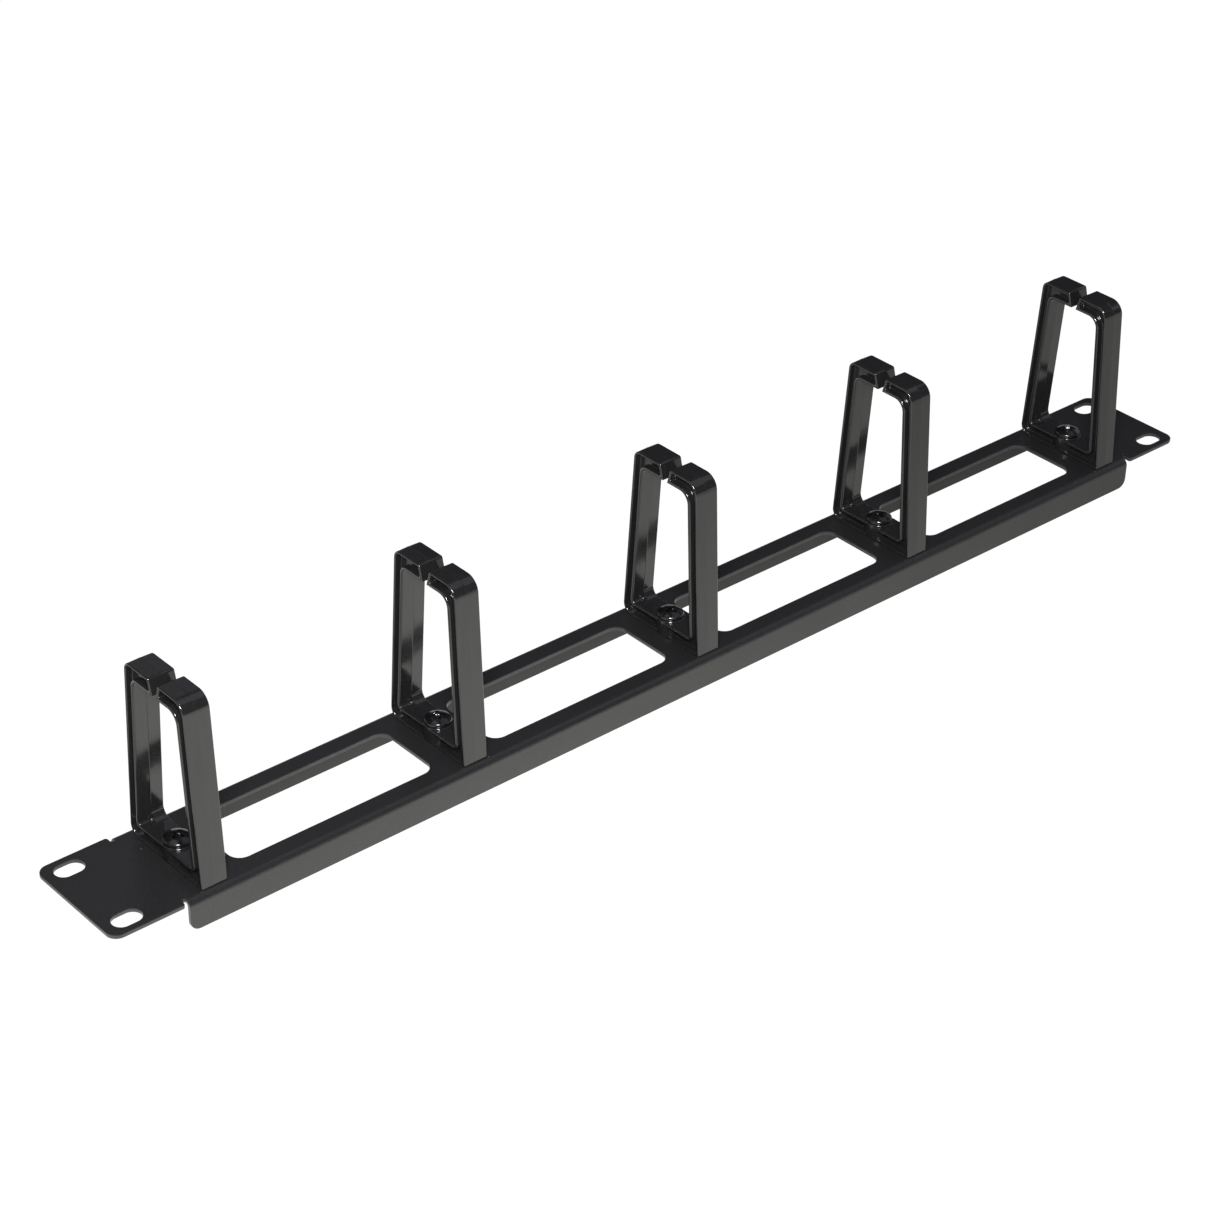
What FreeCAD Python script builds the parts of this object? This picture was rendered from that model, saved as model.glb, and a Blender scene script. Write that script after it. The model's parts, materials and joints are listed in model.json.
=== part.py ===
import FreeCAD, Part
import math
import os
import Sketcher

# Horizontal cable manager, 1U high, for a 19 inch rack: a folded steel panel with five moulded
# cable rings, each held by an M5 screw, a washer and a nut.
# Frame: +X along the panel, -Y its front edge, +Z out of the panel, the way the rings stand.
# The origin lies under the middle of the panel, level with the lower edges of its flanges.

doc = FreeCAD.newDocument("cable_manager")

# Every driving size is written here once, in millimetres, or in degrees where it is an angle.
driving_sizes = [
    ("panel_width", 482.6, "over both ears, 19 inch"),
    ("panel_height", 43.7, "1U less the gap to the next unit"),
    ("sheet_gauge", 1.5, "steel sheet"),
    ("flange_depth", 11.5, "from the panel's face to the lower edges of its flanges"),
    ("bend_radius", 1.1, "inside each fold"),
    ("ear_length", 27.4, "plain sheet past each end of the flanges"),
    ("ear_corner_radius", 4.0, "outer corners of the ears"),
    ("flange_corner_radius", 3.5, "lower corners of the flanges"),
    ("relief_width", 1.4, "notch that frees each end of a fold"),
    ("relief_depth", 2.7, "notch, from the panel's edge to its round end"),
    ("slot_inset", 8.75, "from the panel's end to the middle of a slot"),
    ("slot_spacing_across", 31.75, "mounting slots, centre to centre across the panel"),
    ("slot_length", 10.2, "over the round ends"),
    ("slot_width", 6.8, "across a mounting slot"),
    ("end_margin", 10.7, "from the middle of the last ring to the end of the flanges"),
    ("bridge_width", 24.1, "sheet under a ring, between two openings"),
    ("window_breadth", 27.6, "opening between two rings, across the panel"),
    ("window_corner_radius", 4.5, "corners of the openings"),
    ("ring_width", 9.6, "ring, along the panel"),
    ("ring_tall", 66.1, "ring, above the panel"),
    ("ring_base_span", 39.6, "over the legs at the panel"),
    ("ring_top_span", 31.3, "over the legs, at the top's sharp corners"),
    ("leg_wall", 4.95, "leg, square to its slope"),
    ("top_bar", 5.9, "bar with the slit"),
    ("base_bar", 5.8, "bar on the panel"),
    ("draft_angle", 1.0, "mould draft, both ways from the parting plane at mid width"),
    ("outer_front_top_radius", 5.5, "ring's outer corner, front top"),
    ("outer_rear_top_radius", 3.0, "ring's outer corner, rear top"),
    ("outer_rear_base_radius", 4.0, "ring's outer corner, rear base"),
    ("outer_front_base_radius", 0.6, "ring's outer corner, front base"),
    ("inner_front_top_radius", 4.0, "ring's inner corner, front top"),
    ("inner_rear_top_radius", 2.0, "ring's inner corner, rear top"),
    ("inner_base_radius", 0.9, "ring's inner corners at the base"),
    ("slit_mouth", 5.0, "slit in the top bar, at its top"),
    ("slit_throat", 1.8, "slit in the top bar, at its bottom"),
    ("slit_lip_radius", 1.0, "round edge that leads a cable in"),
    ("slit_overrun", 0.5, "how far the slit's cut runs past the bar"),
    ("slit_end_wall", 1.0, "wall that closes a side channel beside the slit"),
    ("outer_rim", 0.9, "rim outside each side channel"),
    ("inner_rim", 1.4, "rim inside each side channel"),
    ("web_wall", 4.6, "web between the two side channels"),
    ("channel_corner_radius", 0.5, "small corners of the side channels"),
    ("boss_radius", 5.0, "round boss for the screw"),
    ("screw_radius", 2.5, "M5"),
    ("screw_hole_clearance", 0.25, "round the screw, on the radius"),
    ("head_radius", 4.6, "pan head"),
    ("head_edge", 1.3, "straight edge of the head"),
    ("head_tall", 2.9, "head, over its seat"),
    ("head_edge_radius", 0.6, "round edge of the head"),
    ("recess_span", 5.2, "cross recess, over two wings"),
    ("recess_wing", 1.5, "width of a wing at the top"),
    ("recess_depth", 2.0, "cross recess, below the top of the head"),
    ("recess_slope", 15.0, "walls of the recess, off upright"),
    ("screw_proud", 1.7, "screw end below its nut"),
    ("screw_point", 0.6, "chamfer at the screw's end"),
    ("thread_clearance", 0.05, "between the screw and its nut, on the radius"),
    ("washer_radius", 5.0, "plain washer"),
    ("washer_thick", 1.0, "plain washer"),
    ("nut_flats", 8.0, "across the flats"),
    ("nut_thick", 4.0, "nut"),
    ("nut_chamfer_angle", 30.0, "corners of the nut, cut back on both faces"),
]
ring_count = 5
window_count = ring_count - 1
screw_turns = [24.0, 61.0, 8.0, 75.0, 40.0]  # degrees that each screw happens to be turned

sizes = doc.addObject("Spreadsheet::Sheet", "sizes")
for row, (alias, value, note) in enumerate(driving_sizes, start=1):
    sizes.set("A%d" % row, alias)
    sizes.set("B%d" % row, str(value))
    sizes.set("C%d" % row, note)
    sizes.setAlias("B%d" % row, alias)
doc.recompute()
aliases = {alias for alias, value, note in driving_sizes}


# --- formulas ---
# A formula is text such as "ring_width / 2": it is read once for a number to draw with, and
# bound to the drawn size, so that the size follows the sheet.


def bound(formula):
    """The formula with every alias written as a reference to the sheet."""
    pieces = []
    word = ""
    for letter in formula + " ":
        if letter.isalnum() or letter == "_":
            word = word + letter
            continue
        pieces.append("sizes." + word if word in aliases else word)
        pieces.append(letter)
        word = ""
    return "".join(pieces).strip()


def number(formula):
    """The formula's value now."""
    result = sizes.evalExpression(bound(formula))
    return float(getattr(result, "Value", result))


def bind(item, path, formula):
    item.setExpression(path, bound(formula))


def vector(*formulas):
    """A point or direction from two or three formulas."""
    return FreeCAD.Vector(*(number(formula) for formula in formulas))


def minus(formula):
    return "-(%s)" % formula


# --- sketches ---


def origin_feature(body, role):
    """The body's own origin plane or axis with this role."""
    for feature in body.Origin.OriginFeatures:
        if feature.Role == role:
            return feature
    raise ValueError(role)


def new_sketch(body, name, plane, lift="0"):
    """A sketch on one of the body's own origin planes, lifted off it by a formula."""
    sketch = body.newObject("Sketcher::SketchObject", name)
    sketch.AttachmentSupport = (origin_feature(body, plane), [""])
    sketch.MapMode = "FlatFace"
    bind(sketch, "AttachmentOffset.Base.z", lift)
    return sketch


def pin_point(sketch, geometry, point, across, up):
    """Ties a point of the sketch to the two formulas of its place."""
    for kind, formula in (("DistanceX", across), ("DistanceY", up)):
        constraint = Sketcher.Constraint(kind, -1, 1, geometry, point, number(formula))
        index = sketch.addConstraint(constraint)
        bind(sketch, "Constraints[%d]" % index, formula)


def pin_radius(sketch, geometry, formula):
    index = sketch.addConstraint(Sketcher.Constraint("Radius", geometry, number(formula)))
    bind(sketch, "Constraints[%d]" % index, formula)


def polyline(sketch, corners, closed):
    """Straight lines from corner to corner; each corner is a pair of formulas."""
    places = [vector(*corner) for corner in corners]
    ends = places[1:] + places[:1] if closed else places[1:]
    lines = []
    for start, end in zip(places, ends):
        lines.append(sketch.addGeometry(Part.LineSegment(start, end), False))
    followers = lines[1:] + lines[:1] if closed else lines[1:]
    for line, following in zip(lines, followers):
        sketch.addConstraint(Sketcher.Constraint("Coincident", line, 2, following, 1))
    for line, (across, up) in zip(lines, corners):
        pin_point(sketch, line, 1, across, up)
    if not closed:
        pin_point(sketch, lines[-1], 2, *corners[-1])
    return lines


def circle(sketch, radius, across="0", up="0"):
    full = Part.Circle(vector(across, up), FreeCAD.Vector(0, 0, 1), number(radius))
    geometry = sketch.addGeometry(full, False)
    pin_point(sketch, geometry, 3, across, up)
    pin_radius(sketch, geometry, radius)


def arc_about(sketch, across, up, radius, start, sweep):
    """An arc about a pinned centre, from an angle in degrees through a sweep."""
    full = Part.Circle(vector(across, up), FreeCAD.Vector(0, 0, 1), number(radius))
    first = math.radians(start)
    last = math.radians(start + sweep)
    arc = sketch.addGeometry(Part.ArcOfCircle(full, first, last), False)
    pin_point(sketch, arc, 3, across, up)
    pin_radius(sketch, arc, radius)
    return arc


def join_arcs(sketch, arcs):
    """Closes a ring of arcs that run the same way round with a tangent line between each two."""
    for arc, following in zip(arcs, arcs[1:] + arcs[:1]):
        start = sketch.getPoint(arc, 2)
        end = sketch.getPoint(following, 1)
        line = sketch.addGeometry(Part.LineSegment(start, end), False)
        sketch.addConstraint(Sketcher.Constraint("Tangent", arc, 2, line, 1))
        sketch.addConstraint(Sketcher.Constraint("Tangent", line, 2, following, 1))


def rounded_rectangle(sketch, across, up, length, breadth, radius):
    """A rectangle about a centre, with a quarter round at each corner."""
    arcs = []
    for sign_x, sign_y, start in ((1, 1, 0), (-1, 1, 90), (-1, -1, 180), (1, -1, 270)):
        centre_x = "%s + %d * (%s / 2 - %s)" % (across, sign_x, length, radius)
        centre_y = "%s + %d * (%s / 2 - %s)" % (up, sign_y, breadth, radius)
        arcs.append(arc_about(sketch, centre_x, centre_y, radius, start, 90))
    join_arcs(sketch, arcs)


def slot_along_x(sketch, across, up, length, width):
    """A slot with two half-round ends, along the sketch's first axis."""
    reach = "((%s - %s) / 2)" % (length, width)
    right = arc_about(sketch, "%s + %s" % (across, reach), up, width + " / 2", -90, 180)
    left = arc_about(sketch, "%s - %s" % (across, reach), up, width + " / 2", 90, 180)
    join_arcs(sketch, [right, left])


def slot_along_y(sketch, across, up, length, width):
    """A slot with two half-round ends, along the sketch's second axis."""
    reach = "((%s - %s) / 2)" % (length, width)
    upper = arc_about(sketch, across, "%s + %s" % (up, reach), width + " / 2", 0, 180)
    lower = arc_about(sketch, across, "%s - %s" % (up, reach), width + " / 2", 180, 180)
    join_arcs(sketch, [upper, lower])


def rounded_polygon(sketch, corners):
    """A closed outline with an arc in each corner; a corner is the two formulas of its sharp
    point and that of its radius, and the corners run anticlockwise."""
    count = len(corners)
    sharp = [vector(across, up) for across, up, radius in corners]
    arcs = []
    marks = []
    for index, (across, up, radius) in enumerate(corners):
        back = (sharp[index - 1] - sharp[index]).normalize()
        ahead = (sharp[(index + 1) % count] - sharp[index]).normalize()
        half_turn = back.getAngle(ahead) / 2
        run = number(radius) / math.tan(half_turn)
        bisector = (back + ahead).normalize()
        depth = number(radius) / math.sin(half_turn) - number(radius)
        middle = sharp[index] + bisector * depth
        arc = Part.Arc(sharp[index] + back * run, middle, sharp[index] + ahead * run)
        arcs.append(sketch.addGeometry(arc, False))
        pin_radius(sketch, arcs[-1], radius)
        marks.append(sketch.addGeometry(Part.Point(sharp[index]), True))
        pin_point(sketch, marks[-1], 1, across, up)
    turns_left = []
    for index in range(count):
        arriving = sharp[index] - sharp[index - 1]
        leaving = sharp[(index + 1) % count] - sharp[index]
        turns_left.append(arriving.cross(leaving).z > 0)
    for index, arc in enumerate(arcs):
        following = (index + 1) % count
        leave = 2 if turns_left[index] else 1
        arrive = 1 if turns_left[following] else 2
        start = sketch.getPoint(arc, leave)
        end = sketch.getPoint(arcs[following], arrive)
        line = sketch.addGeometry(Part.LineSegment(start, end), False)
        sketch.addConstraint(Sketcher.Constraint("Tangent", arc, leave, line, 1))
        sketch.addConstraint(Sketcher.Constraint("Tangent", line, 2, arcs[following], arrive))
        sketch.addConstraint(Sketcher.Constraint("PointOnObject", marks[index], 1, line))
        sketch.addConstraint(Sketcher.Constraint("PointOnObject", marks[following], 1, line))


# --- features ---


def new_body(label):
    body = doc.addObject("PartDesign::Body", label)
    body.Label = label
    return body


def pad(body, name, sketch, length, taper="0", both_ways=False):
    """Adds material along the sketch's normal; a negative taper narrows it on the way."""
    feature = body.newObject("PartDesign::Pad", name)
    feature.Profile = sketch
    feature.SideType = "Symmetric" if both_ways else "One side"
    bind(feature, "Length", length)
    bind(feature, "TaperAngle", taper)
    doc.recompute()


def pocket(body, name, sketch, length, taper="0", along_normal=False):
    """Takes material away against the sketch's normal, or along it; stops if nothing was cut."""
    before = body.Shape.Volume
    feature = body.newObject("PartDesign::Pocket", name)
    feature.Profile = sketch
    feature.Reversed = along_normal
    bind(feature, "Length", length)
    bind(feature, "TaperAngle", taper)
    doc.recompute()
    if feature.Shape.Volume >= before:
        raise ValueError(name + " cuts nothing")
    return feature


def revolved(body, kind, name, sketch):
    """A full turn of a half section about the body's upright axis."""
    feature = body.newObject("PartDesign::" + kind, name)
    feature.Profile = sketch
    feature.ReferenceAxis = (origin_feature(body, "Z_Axis"), [""])
    feature.Angle = 360
    doc.recompute()


def edge_middle(edge):
    return edge.valueAt((edge.FirstParameter + edge.LastParameter) / 2)


def fillet(body, name, radius, *places):
    """Rounds the edges whose middles lie nearest to the places, three formulas each."""
    base = body.Tip
    middles = [edge_middle(edge) for edge in base.Shape.Edges]
    names = []
    for place in places:
        spans = [(middle - vector(*place)).Length for middle in middles]
        names.append("Edge%d" % (spans.index(min(spans)) + 1))
    feature = body.newObject("PartDesign::Fillet", name)
    feature.Base = (base, names)
    bind(feature, "Radius", radius)
    doc.recompute()


ring_pitch = "((panel_width - 2 * ear_length - 2 * end_margin) / %d)" % (ring_count - 1)


def row_along_x(body, name, feature, count):
    """Repeats a feature to +X at the pitch of the rings."""
    pattern = body.newObject("PartDesign::LinearPattern", name)
    pattern.Originals = [feature]
    pattern.Direction = (origin_feature(body, "X_Axis"), [""])
    bind(pattern, "Length", "%s * %d" % (ring_pitch, count - 1))
    pattern.Occurrences = count
    body.Tip = pattern
    doc.recompute()


def station(index, count=ring_count):
    """Place along the panel of number index, from 1, in a row of count about the middle."""
    return "%s * (%d - %d / 2)" % (ring_pitch, index, count + 1)


def stand(body, index, height, turn=0.0):
    """Stands a finished piece at the station of ring number index, at a height."""
    body.Placement.Rotation = FreeCAD.Rotation(FreeCAD.Vector(0, 0, 1), turn)
    bind(body, "Placement.Base.x", station(index))
    bind(body, "Placement.Base.z", height)


# --- panel ---

half_width = "(panel_width / 2)"
half_height = "(panel_height / 2)"
inner_height = "(panel_height / 2 - sheet_gauge)"
flange_end = "(panel_width / 2 - ear_length)"
underside = "(flange_depth - sheet_gauge)"
screw_hole = "(screw_radius + screw_hole_clearance)"
signs = ("", "-")
quadrants = [(sign_x, sign_y) for sign_x in signs for sign_y in signs]


def folded_strip(body):
    """The sheet between the ears, folded down along both long edges."""
    sketch = new_sketch(body, "fold_section", "YZ_Plane")
    corners = [
        (minus(half_height), "0"),
        (minus(half_height), "flange_depth"),
        (half_height, "flange_depth"),
        (half_height, "0"),
        (inner_height, "0"),
        (inner_height, underside),
        (minus(inner_height), underside),
        (minus(inner_height), "0"),
    ]
    polyline(sketch, corners, closed=True)
    pad(body, "folded_strip", sketch, "2 * " + flange_end, both_ways=True)
    outer_edges = [("0", sign + half_height, "flange_depth") for sign in signs]
    fillet(body, "outer_folds", "bend_radius + sheet_gauge", *outer_edges)
    inner_edges = [("0", sign + inner_height, underside) for sign in signs]
    fillet(body, "inner_folds", "bend_radius", *inner_edges)


def ears(body):
    """Plain sheet at both ends, with rounded corners."""
    sketch = new_sketch(body, "ear_outline", "XY_Plane", underside)
    for sign in signs:
        corners = [
            (sign + flange_end, minus(half_height)),
            (sign + half_width, minus(half_height)),
            (sign + half_width, half_height),
            (sign + flange_end, half_height),
        ]
        polyline(sketch, corners, closed=True)
    pad(body, "ears", sketch, "sheet_gauge")
    middle = underside + " + sheet_gauge / 2"
    edges = [(sign_x + half_width, sign_y + half_height, middle) for sign_x, sign_y in quadrants]
    fillet(body, "ear_corners", "ear_corner_radius", *edges)


def fold_reliefs(body):
    """Round-ended notches beside the flanges, open at the panel's edge."""
    sketch = new_sketch(body, "relief_outline", "XY_Plane", "flange_depth")
    middle = "(%s + relief_width / 2)" % flange_end
    for sign_x, sign_y in quadrants:
        slot_along_y(sketch, sign_x + middle, sign_y + half_height, "2 * relief_depth", "relief_width")
    pocket(body, "fold_reliefs", sketch, "sheet_gauge")


def flange_corners(body):
    """Rounds the lower corner at each end of both flanges."""
    middle = "(%s - sheet_gauge / 2)" % half_height
    edges = [(sign_x + flange_end, sign_y + middle, "0") for sign_x, sign_y in quadrants]
    fillet(body, "flange_corners", "flange_corner_radius", *edges)


def mounting_slots(body):
    sketch = new_sketch(body, "slot_outline", "XY_Plane", "flange_depth")
    for sign_x, sign_y in quadrants:
        across = sign_x + "(panel_width / 2 - slot_inset)"
        up = sign_y + "(slot_spacing_across / 2)"
        slot_along_x(sketch, across, up, "slot_length", "slot_width")
    pocket(body, "mounting_slots", sketch, "sheet_gauge")


def windows(body):
    """Openings for cables, one between each two rings."""
    sketch = new_sketch(body, "window_outline", "XY_Plane", "flange_depth")
    first = station(1, window_count)
    length = "(%s - bridge_width)" % ring_pitch
    rounded_rectangle(sketch, first, "0", length, "window_breadth", "window_corner_radius")
    first_window = pocket(body, "first_window", sketch, "sheet_gauge")
    row_along_x(body, "windows", first_window, window_count)


def screw_holes(body):
    sketch = new_sketch(body, "hole_outline", "XY_Plane", "flange_depth")
    circle(sketch, screw_hole, station(1))
    first_hole = pocket(body, "first_screw_hole", sketch, "sheet_gauge")
    row_along_x(body, "screw_holes", first_hole, ring_count)


def panel():
    body = new_body("panel")
    folded_strip(body)
    ears(body)
    fold_reliefs(body)
    flange_corners(body)
    mounting_slots(body)
    windows(body)
    screw_holes(body)
    return body


# --- rings ---
# A ring has its own frame: X across its width, Y from front to rear, Z up from the panel.
# One half is moulded out from the parting plane X = 0, and the other half mirrors it.

half_ring = "(ring_width / 2)"
crown = "(ring_width / 2 * tan(draft_angle))"
lean = "((ring_base_span - ring_top_span) / 2 / ring_tall)"
slit_flare = "((slit_mouth - slit_throat) / 2 / top_bar)"
channel_depth = "((ring_width - web_wall) / 2)"


def leg_line(height, inset):
    """Distance from the middle plane to a line that runs an inset inside the leg's outer face."""
    return "(ring_base_span / 2 - (%s) * %s - (%s) / cos(atan(%s)))" % (height, lean, inset, lean)


def slit_line(height):
    """Distance from the middle plane to the slit's sloped wall."""
    return "(slit_throat / 2 + (%s - ring_tall + top_bar) * %s)" % (height, slit_flare)


def half_block(body):
    """Half the width of the ring before its opening is cut, drafted off the parting plane."""
    sketch = new_sketch(body, "block_outline", "YZ_Plane")
    foot = leg_line(minus(crown), "0")
    head = leg_line("ring_tall", "0")
    corners = [
        (minus(foot), minus(crown)),
        (foot, minus(crown)),
        (head, "ring_tall"),
        (minus(head), "ring_tall"),
    ]
    polyline(sketch, corners, closed=True)
    pad(body, "half_block", sketch, half_ring, taper="-draft_angle")
    middle = "(ring_width / 4)"
    fillet(body, "front_top", "outer_front_top_radius", (middle, minus(head), "ring_tall"))
    fillet(body, "rear_top", "outer_rear_top_radius", (middle, head, "ring_tall"))
    fillet(body, "rear_base", "outer_rear_base_radius", (middle, foot, minus(crown)))
    fillet(body, "front_base", "outer_front_base_radius", (middle, minus(foot), minus(crown)))


def cable_opening(body):
    """The space that holds the cables, drafted wider off the parting plane."""
    sketch = new_sketch(body, "opening_outline", "YZ_Plane")
    ceiling = "(ring_tall - top_bar)"
    foot = leg_line("base_bar", "leg_wall")
    head = leg_line(ceiling, "leg_wall")
    corners = [
        (minus(foot), "base_bar"),
        (foot, "base_bar"),
        (head, ceiling),
        (minus(head), ceiling),
    ]
    polyline(sketch, corners, closed=True)
    pocket(body, "cable_opening", sketch, half_ring, taper="draft_angle", along_normal=True)
    middle = "(ring_width / 4)"
    fillet(body, "front_ceiling", "inner_front_top_radius", (middle, minus(head), ceiling))
    fillet(body, "rear_ceiling", "inner_rear_top_radius", (middle, head, ceiling))
    feet = [(middle, sign + foot, "base_bar") for sign in signs]
    fillet(body, "inner_feet", "inner_base_radius", *feet)


def flat_seat(body):
    """Trims the drafted underside flat, where the ring sits on the panel."""
    sketch = new_sketch(body, "seat_outline", "YZ_Plane")
    corners = [
        ("-ring_base_span", "0"),
        ("-ring_base_span", "-base_bar"),
        ("ring_base_span", "-base_bar"),
        ("ring_base_span", "0"),
    ]
    polyline(sketch, corners, closed=True)
    pocket(body, "flat_seat", sketch, "ring_width", along_normal=True)


def cable_slit(body):
    """A funnel through the top bar, with round lips that lead a cable in."""
    sketch = new_sketch(body, "slit_outline", "YZ_Plane")
    over = "(ring_tall + slit_overrun)"
    under = "(ring_tall - top_bar - slit_overrun)"
    corners = [
        (minus(slit_line(under)), under),
        (slit_line(under), under),
        (slit_line(over), over),
        (minus(slit_line(over)), over),
    ]
    polyline(sketch, corners, closed=True)
    pocket(body, "cable_slit", sketch, "ring_width", along_normal=True)
    lips = [("ring_width / 4", sign + "(slit_mouth / 2)", "ring_tall") for sign in signs]
    fillet(body, "slit_lips", "slit_lip_radius", *lips)


def side_channel(body):
    """The channel that gives the loop its I section, closed at both sides of the slit."""
    sketch = new_sketch(body, "channel_outline", "YZ_Plane", half_ring)
    outer_inset = "(%s + outer_rim)" % crown
    inner_inset = "(leg_wall - %s - inner_rim)" % crown
    top = "(ring_tall - %s)" % outer_inset
    under_top = "(ring_tall - top_bar + %s + inner_rim)" % crown
    floor = "outer_rim"
    over_floor = "(base_bar - %s - inner_rim)" % crown
    top_end = "(%s + slit_end_wall)" % slit_line(top)
    under_top_end = "(%s + slit_end_wall)" % slit_line(under_top)
    small = "channel_corner_radius"
    foot = "(inner_base_radius + inner_rim)"
    rounded_polygon(sketch, [
        (leg_line(floor, outer_inset), floor, "outer_rear_base_radius - outer_rim"),
        (leg_line(top, outer_inset), top, "outer_rear_top_radius - outer_rim"),
        (top_end, top, small),
        (under_top_end, under_top, small),
        (leg_line(under_top, inner_inset), under_top, "inner_rear_top_radius + inner_rim"),
        (leg_line(over_floor, inner_inset), over_floor, foot),
        (minus(leg_line(over_floor, inner_inset)), over_floor, foot),
        (minus(leg_line(under_top, inner_inset)), under_top, "inner_front_top_radius + inner_rim"),
        (minus(under_top_end), under_top, small),
        (minus(top_end), top, small),
        (minus(leg_line(top, outer_inset)), top, "outer_front_top_radius - outer_rim"),
        (minus(leg_line(floor, outer_inset)), floor, small),
    ])
    pocket(body, "side_channel", sketch, channel_depth, taper="-draft_angle")


def whole_loop(body):
    """Mirrors the finished half over the parting plane."""
    mirror = body.newObject("PartDesign::Mirrored", "whole_loop")
    mirror.TransformMode = "Whole shape"
    mirror.MirrorPlane = (origin_feature(body, "YZ_Plane"), [""])
    body.Tip = mirror
    doc.recompute()


def screw_boss(body):
    """A round post in the base bar, bored for the screw."""
    outline = new_sketch(body, "boss_outline", "XY_Plane")
    circle(outline, "boss_radius")
    pad(body, "screw_boss", outline, "base_bar")
    bore = new_sketch(body, "bore_outline", "XY_Plane", "base_bar")
    circle(bore, screw_hole)
    pocket(body, "screw_bore", bore, "base_bar")


def ring(index):
    body = new_body("ring_%d" % index)
    half_block(body)
    cable_opening(body)
    flat_seat(body)
    cable_slit(body)
    side_channel(body)
    whole_loop(body)
    screw_boss(body)
    stand(body, index, "flange_depth")
    return body


# --- screws, washers and nuts ---


def turned_blank(body):
    """The screw before its recess; its origin is under the head, where it seats."""
    sketch = new_sketch(body, "half_section", "XZ_Plane")
    grip = "(base_bar + sheet_gauge + washer_thick + nut_thick)"
    tip = "-(%s + screw_proud)" % grip
    outline = [
        ("0", "head_tall"),
        ("0", tip),
        ("screw_radius - screw_point", tip),
        ("screw_radius", tip + " + screw_point"),
        ("screw_radius", "0"),
        ("head_radius", "0"),
        ("head_radius", "head_edge"),
    ]
    lines = polyline(sketch, outline, closed=False)
    rise = number("head_tall - head_edge")
    dome_radius = (number("head_radius") ** 2 + rise ** 2) / (2 * rise)
    centre = FreeCAD.Vector(0, number("head_tall") - dome_radius, 0)
    dome = Part.Circle(centre, FreeCAD.Vector(0, 0, 1), dome_radius)
    start = math.asin((dome_radius - rise) / dome_radius)
    arc = sketch.addGeometry(Part.ArcOfCircle(dome, start, math.pi / 2), False)
    sketch.addConstraint(Sketcher.Constraint("Coincident", lines[-1], 2, arc, 1))
    sketch.addConstraint(Sketcher.Constraint("Coincident", lines[0], 1, arc, 2))
    sketch.addConstraint(Sketcher.Constraint("PointOnObject", arc, 3, -2))
    revolved(body, "Revolution", "turned_blank", sketch)
    fillet(body, "head_rim", "head_edge_radius", ("-head_radius", "0", "head_edge"))


def cross_recess(body):
    """Two crossed wings with sloped walls, sunk from the top of the head."""
    sketch = new_sketch(body, "recess_outline", "XY_Plane", "head_tall")
    far = "(recess_span / 2)"
    near = "(recess_wing / 2)"
    corners = []
    for sign_x, sign_y in (("", ""), ("-", ""), ("-", "-"), ("", "-")):
        quarter = [(far, near), (near, near), (near, far)]
        if sign_x != sign_y:
            quarter.reverse()
        corners.extend((sign_x + across, sign_y + up) for across, up in quarter)
    polyline(sketch, corners, closed=True)
    pocket(body, "cross_recess", sketch, "recess_depth", taper="-recess_slope")


def screw(index):
    body = new_body("screw_%d" % index)
    turned_blank(body)
    cross_recess(body)
    stand(body, index, "flange_depth + base_bar", screw_turns[index - 1])
    return body


def washer(index):
    body = new_body("washer_%d" % index)
    outline = new_sketch(body, "disc_outline", "XY_Plane")
    circle(outline, "washer_radius")
    circle(outline, screw_hole)
    pad(body, "disc", outline, "washer_thick")
    stand(body, index, underside + " - washer_thick")
    return body


def nut(index):
    """A hexagon nut, its corners cut back by a cone on both faces."""
    body = new_body("nut_%d" % index)
    outline = new_sketch(body, "hexagon_outline", "XY_Plane")
    reach = "(nut_flats / 2 / cos(30))"
    hexagon = [("%s * cos(%d)" % (reach, turn), "%s * sin(%d)" % (reach, turn)) for turn in range(0, 360, 60)]
    polyline(outline, hexagon, closed=True)
    circle(outline, "screw_radius + thread_clearance")
    pad(body, "hexagon", outline, "nut_thick")
    wedges = new_sketch(body, "chamfer_outline", "XZ_Plane")
    start = "nut_flats / 2"
    end = "nut_flats"
    fall = "(nut_flats / 2 * tan(nut_chamfer_angle))"
    polyline(wedges, [(start, "0"), (end, "0"), (end, fall)], closed=True)
    polyline(wedges, [(start, "nut_thick"), (end, "nut_thick - " + fall), (end, "nut_thick")], closed=True)
    revolved(body, "Groove", "corner_chamfers", wedges)
    stand(body, index, underside + " - washer_thick - nut_thick")
    return body


# --- build ---


def check(parts):
    """Stops before anything is written if a feature failed or a piece is not one sound solid."""
    for item in doc.Objects:
        if "Invalid" in item.State or "Error" in item.State:
            raise ValueError("%s failed: %s" % (item.Name, item.getStatusString()))
    for part in parts:
        if part.Shape.isNull() or not part.Shape.isValid() or len(part.Shape.Solids) != 1:
            raise ValueError(part.Label + " is not one sound solid")


parts = [panel()]
for index in range(1, ring_count + 1):
    parts.extend([ring(index), screw(index), washer(index), nut(index)])
doc.recompute()
check(parts)
os.makedirs("parts", exist_ok=True)
for part in parts:
    part.Shape.exportStep("parts/%s.step" % part.Label)
    print("%-10s %9.1f mm3" % (part.Label, part.Shape.Volume))
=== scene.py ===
import json
import math

import bmesh
import bpy
import numpy as np
from mathutils import Matrix, Vector
from mathutils.geometry import delaunay_2d_cdt

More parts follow.
